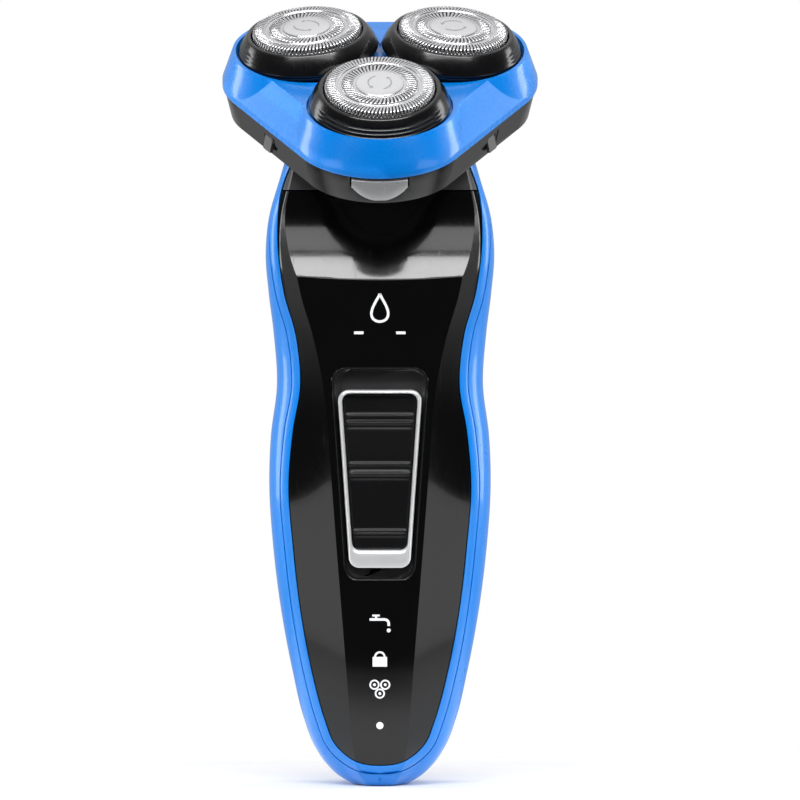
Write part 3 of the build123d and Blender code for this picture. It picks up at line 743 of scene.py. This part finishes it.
def resample(ring, like):
    """Same number of points as another outline, matched by share of the way round."""
    def spans(points):
        total = [0.0]
        for k in range(len(points)):
            total.append(total[-1] + math.dist(points[k], points[(k + 1) % len(points)]))
        return total
    a, b = spans(like), spans(ring)
    result = []
    for k in range(len(like)):
        target = a[k] / a[-1] * b[-1]
        j = 0
        while j < len(ring) - 1 and b[j + 1] < target:
            j += 1
        t = (target - b[j]) / max(1e-9, b[j + 1] - b[j])
        p, q = ring[j], ring[(j + 1) % len(ring)]
        result.append((p[0] + (q[0] - p[0]) * t, p[1] + (q[1] - p[1]) * t))
    return result


# ---- cutting units ------------------------------------------------------------------------

def lathe(name, profile, material_name, unit, body, node, segments, groove=None):
    """Turned piece on a cutting unit's axis; groove may change the radius round the turn."""
    points = []
    for i in range(segments):
        a = 2 * math.pi * i / segments
        for r, s in profile:
            if groove:
                r = groove(r, s, a)
            points.append(on_unit(unit, (r * math.cos(a), r * math.sin(a), s)))
    size = len(profile)
    faces = []
    for i in range(segments):
        j = (i + 1) % segments
        for k in range(size - 1):
            faces.append((i * size + k, j * size + k, j * size + k + 1, i * size + k + 1))
    obj = new_object(name, points, faces, MATS[material_name], sharp=40.0)
    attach(obj, body)
    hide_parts(node)


def ring_profile():
    """Holder ring section: undercut, rolled base, coned side with grooves, lip, bore."""
    widest, foot, top = 15.13, 1.55, 5.2
    line = [(13.0, -2.6), (13.6, -2.6), (13.6, 0.5), (14.4, 0.5), (14.5, 0.65), (14.5, 1.05), (14.75, 1.18),
            (15.02, 1.22), (widest, 1.36), (widest, foot)]
    for i in range(1, 46):
        s = foot + (top - foot) * i / 45
        rise = s - foot
        line.append((widest - 0.30 * rise - 0.072 * rise ** 2, s))
    r = line[-1][0]
    line += [(r - 0.12, 5.33), (r - 0.32, 5.42), (r - 0.6, 5.45), (12.45, 5.45), (12.28, 5.42), (12.14, 5.32),
             (12.08, 5.15), (12.08, 3.3), (13.0, 3.3), (13.0, -2.6)]
    return line


def ring_groove(r, s, a):
    """Three grooves round the outward part of the ring's side, fading out at the ends."""
    if not 1.6 < s < 5.2 or r < 12.5:
        return r
    turn = math.atan2(math.sin(a), math.cos(a))
    fade = 1 / (1 + math.exp((abs(turn) - 0.98) * 18))
    depth = 0.0
    for level in (2.15, 2.95, 3.75):
        depth += 0.34 * math.exp(-((s - level) / 0.17) ** 2)
    return r - depth * fade


def build_foil(unit):
    """Foil cap with its two slotted tracks cut right through."""
    rows_outer = [
        (11.42, 2.45), (11.75, 2.45), (11.75, 4.6), (11.75, 5.35), (11.72, 5.8), (11.6, 6.12), (11.38, 6.36),
        (11.05, 6.48), (10.6, 6.5), (9.9, 6.5), (9.35, 6.5), (9.08, 6.46), (8.98, 6.3), (8.86, 6.2), (8.7, 6.18),
        (8.55, 6.2), (8.43, 6.3), (8.33, 6.46), (8.15, 6.5)]
    rows_inner = [(8.15, 6.5), (7.4, 6.5), (6.6, 6.5), (5.75, 6.5), (5.4, 6.5), (4.6, 6.5)]
    shares = (0.0, 0.32, 0.64, 0.82)
    per = len(shares)
    # label, rows, number of slots, radius the slots turn about, how far they lean
    for label, rows, slots, ref, cant in (("outer", rows_outer, 90, 10.4, 0.20), ("inner", rows_inner, 54, 6.9, 0.26)):
        points = []
        faces = []
        total = slots * per
        for i in range(slots):
            for share in shares:
                for r, s in rows:
                    a = 2 * math.pi * (i + share) / slots + cant * (ref - r) / ref
                    points.append(on_unit(unit, (r * math.cos(a), r * math.sin(a), s)))
        size = len(rows)
        for i in range(total):
            j = (i + 1) % total
            gap = i % per >= 2
            for k in range(size - 1):
                r0, s0 = rows[k]
                r1, s1 = rows[k + 1]
                mid_r, mid_s = (r0 + r1) / 2, (s0 + s1) / 2
                if label == "outer":
                    open_here = mid_r > 9.35 and mid_s > 5.3
                else:
                    open_here = 5.75 < mid_r < 8.15
                if gap and open_here:
                    continue
                faces.append((i * size + k, j * size + k, j * size + k + 1, i * size + k + 1))
        obj = new_object("foil_" + label + "_" + unit, points, faces, MATS["foil_steel"], sharp=35.0)
        modifier(obj, "SOLIDIFY", "sheet", thickness=0.22 * MM, offset=-1.0)
        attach(obj, "foil_" + unit)
    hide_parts("foil_cap_" + unit)


def build_arrows(unit):
    """Two curved arrows on the disc: they show which way the cutter turns."""
    steps, sweep = 14, 1.9

    def on_disc(r, a):
        return on_unit(unit, (r * math.cos(a), r * math.sin(a) * 0.9, 6.905))

    for k in range(2):
        points = []
        faces = []
        for i in range(steps + 1):
            a = math.pi * k + 0.35 + sweep * i / steps
            width = 0.16 * math.sin(math.pi * min(1.0, (i + 0.6) / (steps + 0.8))) ** 0.5 + 0.03
            points += [on_disc(2.75 - width, a), on_disc(2.75 + width, a)]
        for i in range(steps):
            faces.append((2 * i, 2 * i + 1, 2 * i + 3, 2 * i + 2))
        tip = math.pi * k + 0.35 + sweep
        base = len(points)
        points += [on_disc(2.2, tip - 0.02), on_disc(3.2, tip - 0.02), on_disc(2.65, tip + 0.28)]
        faces.append((base, base + 1, base + 2))
        arrow = new_object("arrow_%s_%d" % (unit, k), points, faces, MATS["machine_steel"])
        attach(arrow, "foil_" + unit)


DISC = [(4.55, 6.3), (5.15, 6.52), (5.2, 6.6), (5.08, 6.72), (4.7, 6.8), (3.6, 6.86), (2.0, 6.89), (0.6, 6.9),
        (0.001, 6.9)]


# ---- marks --------------------------------------------------------------------------------

def mark(name, strips, lift=0.03):
    """Thin printed mark on the front cover, from strips of (x, z) pairs."""
    points = []
    faces = []
    for strip in strips:
        base = len(points)
        for a, b in strip:
            for x, z in (a, b):
                points.append((x, front_y(x, z) - lift, z))
        for i in range(len(strip) - 1):
            faces.append((base + 2 * i, base + 2 * i + 1, base + 2 * i + 3, base + 2 * i + 2))
    obj = new_object(name, points, faces, MATS["mark_white"])
    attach(obj, "housing")


def arc_strip(cx, cz, radius, width, start, end, count=28):
    strip = []
    inner, outer = radius - width / 2, radius + width / 2
    for i in range(count + 1):
        a = math.radians(start + (end - start) * i / count)
        strip.append(((cx + inner * math.cos(a), cz + inner * math.sin(a)),
                      (cx + outer * math.cos(a), cz + outer * math.sin(a))))
    return strip


def line_strip(points, width):
    strip = []
    for k, (x, z) in enumerate(points):
        a = Vector(points[max(k - 1, 0)])
        b = Vector(points[min(k + 1, len(points) - 1)])
        d = (b - a).normalized()
        n = Vector((-d.y, d.x)) * (width / 2)
        strip.append(((x - n.x, z - n.y), (x + n.x, z + n.y)))
    return strip


def build_marks():
    """Rings, lock, tap, drop and lamp spot: generic printed signs, no lettering."""
    z = 21.3
    strips = []
    for cx, cz in ((-1.15, z + 0.75), (1.15, z + 0.75), (0.0, z - 1.15)):
        strips.append(arc_strip(cx, cz, 0.92, 0.34, 0, 360))
        strips.append(arc_strip(cx, cz, 0.16, 0.32, 0, 360, 14))
    mark("mark_rings", strips)
    z = 27.6
    mark("mark_lock", [
        line_strip([(-1.55, z - 0.6), (1.55, z - 0.6)], 2.1),
        arc_strip(0, z + 0.45, 1.0, 0.42, 0, 180)])
    z = 35.2
    mark("mark_tap", [
        line_strip([(-2.2, z + 0.9), (1.0, z + 0.9)], 0.55),
        line_strip([(-0.8, z + 0.9), (-0.8, z + 1.7)], 0.5),
        line_strip([(-1.6, z + 1.75), (0.0, z + 1.75)], 0.4),
        arc_strip(1.0, z, 0.9, 0.55, 0, 90, 12),
        line_strip([(1.9, z), (1.9, z - 0.5)], 0.55),
        arc_strip(1.9, z - 1.45, 0.22, 0.42, 0, 360, 14)])
    z = 103.2
    drop = []
    for i in range(41):
        t = i / 40 * 2 * math.pi
        drop.append((2.6 * math.sin(t) * math.sin(t / 2) ** 1.6, z - 0.4 + 3.0 * math.cos(t)))
    mark("mark_drop", [line_strip(drop, 0.55)])
    mark("mark_line", [line_strip([(-5.5, 97.4), (5.5, 97.4)], 0.6)])
    mark("mark_lamp", [arc_strip(0, 13.2, 0.4, 0.75, 0, 360, 24)])


# ---- carried-over pieces ------------------------------------------------------------------

SOFT_EDGES = {
    "head_frame": 0.28, "head_base": 0.3, "release_button": 0.35, "side_tab_left": 0.15, "side_tab_right": 0.15}
OWN_FINISH = {"head_frame": "deck_blue", "side_tab_left": "grey_satin", "side_tab_right": "grey_satin"}


def finish_nodes():
    """Finish for every CAD piece, and softened edges where they show."""
    for name, obj in frame["nodes"].items():
        obj.data.materials.clear()
        obj.data.materials.append(MATS.get(OWN_FINISH.get(name, SLOTS[name]), MATS["black_satin"]))
        if name in SOFT_EDGES:
            modifier(obj, "WELD", "weld", merge_threshold=0.00001)
            modifier(obj, "BEVEL", "soft_edges", width=SOFT_EDGES[name] * MM, segments=3, limit_method="ANGLE",
                     angle_limit=math.radians(28), harden_normals=False, use_clamp_overlap=True)


# ---- stage --------------------------------------------------------------------------------

def soft_light(name, place, aim, size, power, glossy=True, diffuse=True):
    light = bpy.data.lights.new(name, "AREA")
    light.shape = "RECTANGLE"
    light.size, light.size_y = size
    light.energy = power
    obj = bpy.data.objects.new(name, light)
    obj.location = place
    obj.rotation_euler = (Vector(aim) - Vector(place)).to_track_quat("-Z", "Y").to_euler()
    bpy.context.scene.collection.objects.link(obj)
    obj.visible_camera = False
    obj.visible_glossy = glossy
    obj.visible_diffuse = diffuse


def build_floor():
    """Pale sheet that fades into the backdrop away from the shaver."""
    mesh = bpy.data.meshes.new("floor")
    r, z = 3.0, -0.0002
    mesh.from_pydata([(-r, -r, z), (r, -r, z), (r, r, z), (-r, r, z)], [], [(0, 1, 2, 3)])
    floor = bpy.data.objects.new("floor", mesh)
    bpy.context.scene.collection.objects.link(floor)
    paper = material("floor_paper", (0.8, 0.8, 0.8), 0.55, bump=0.02, grain=300.0, color_spread=0.01)
    mesh.materials.append(paper)
    nodes, links = paper.node_tree.nodes, paper.node_tree.links
    place = add_node(nodes, "TexCoord")
    oval = add_node(nodes, "Mapping", {"Scale": (0.8, 2.2, 1.0)})
    reach = add_node(nodes, "VectorMath", operation="LENGTH")
    fade = add_node(nodes, "MapRange", {"From Min": 0.06, "From Max": 0.26}, interpolation_type="SMOOTHSTEP")
    clear = add_node(nodes, "BsdfTransparent")
    both = add_node(nodes, "MixShader")
    links.new(place.outputs["Object"], oval.inputs["Vector"])
    links.new(oval.outputs["Vector"], reach.inputs[0])
    links.new(reach.outputs["Value"], fade.inputs["Value"])
    links.new(fade.outputs["Result"], both.inputs[0])
    links.new(nodes["Principled BSDF"].outputs[0], both.inputs[1])
    links.new(clear.outputs[0], both.inputs[2])
    links.new(both.outputs[0], nodes["Material Output"].inputs["Surface"])


def build_world():
    """White to the camera; to everything else, light that grows upward and towards the back."""
    world = bpy.data.worlds.new("studio")
    bpy.context.scene.world = world
    world.use_nodes = True
    nodes, links = world.node_tree.nodes, world.node_tree.links
    back = nodes["Background"]
    back.inputs["Color"].default_value = (1, 1, 1, 1)
    place = add_node(nodes, "TexCoord")
    split = add_node(nodes, "SeparateXYZ")
    height = add_node(nodes, "MapRange", {"From Min": 0.35, "From Max": 1.0, "To Min": 0.0, "To Max": 0.65},
                      interpolation_type="SMOOTHSTEP")
    depth = add_node(nodes, "MapRange", {"From Min": -0.2, "From Max": 0.9, "To Min": 0.03, "To Max": 0.40},
                     interpolation_type="SMOOTHSTEP")
    total = add_node(nodes, "Math", operation="ADD")
    path = add_node(nodes, "LightPath")
    pick = add_node(nodes, "Mix", {3: 1.0}, data_type="FLOAT")
    links.new(place.outputs["Generated"], split.inputs["Vector"])
    links.new(split.outputs["Z"], height.inputs["Value"])
    links.new(split.outputs["Y"], depth.inputs["Value"])
    links.new(height.outputs["Result"], total.inputs[0])
    links.new(depth.outputs["Result"], total.inputs[1])
    links.new(path.outputs["Is Camera Ray"], pick.inputs[0])
    links.new(total.outputs["Value"], pick.inputs[2])
    links.new(pick.outputs[0], back.inputs["Strength"])


def build_lights():
    """Soft boxes: pairs at the flanks, and two long ones over the front."""
    for side, word in ((-1, "left"), (1, "right")):
        soft_light("flank_" + word, (0.60 * side, 0.18, 0.16), (0, 0, 0.09), (0.3, 0.5), 3.8, glossy=False)
        soft_light("fill_" + word, (0.50 * side, -0.62, 0.22), (0, 0, 0.10), (0.4, 0.5), 2.5, glossy=False)
        soft_light("edge_" + word, (0.75 * side, 0.30, 0.25), (0, 0, 0.09), (0.20, 0.5), 1.2)
        soft_light("low_" + word, (0.46 * side, -0.20, -0.04), (0, 0, 0.04), (0.28, 0.13), 0.16, diffuse=False)
    soft_light("front_top", (0.0, -0.64, 0.76), (0, 0, 0.11), (1.1, 0.14), 7.0)
    soft_light("front_mid", (0.0, -0.74, 0.62), (0, 0, 0.11), (1.1, 0.14), 1.6)


def build_camera():
    """Long lens, almost level, framed as in the photo."""
    cam = bpy.data.cameras.new("camera")
    cam.lens = 400.0
    cam.sensor_width = 36.0
    cam.clip_start = 0.01
    cam.clip_end = 50.0
    obj = bpy.data.objects.new("camera", cam)
    bpy.context.scene.collection.objects.link(obj)
    # the photo's frame is 172.5 mm across at the shaver and its middle is 82.6 mm up
    pixel = 0.2156 * MM
    distance = 800 * pixel * cam.lens / cam.sensor_width
    centre = Vector(((400 - 380) * pixel, 0, (783 - 400) * pixel))
    tip = math.radians(1.5)
    obj.location = centre + Vector((0, -distance * math.cos(tip), distance * math.sin(tip)))
    obj.rotation_euler = (math.radians(90) - tip, 0, 0)
    bpy.context.scene.camera = obj
    bpy.context.scene.view_settings.view_transform = "Standard"


finish_nodes()
build_cover()
build_collar()
build_trim()
build_shell()
build_well()
build_surround()
build_grip()
for unit in UNITS:
    lathe("ring_" + unit, ring_profile(), "holder_black", unit, "holder_" + unit, "holder_ring_" + unit,
          segments=160, groove=ring_groove)
    build_foil(unit)
    lathe("disc_" + unit, DISC, "disc_steel", unit, "foil_" + unit, "cap_disc_" + unit, segments=96)
    build_arrows(unit)
build_marks()
build_floor()
build_world()
build_lights()
build_camera()
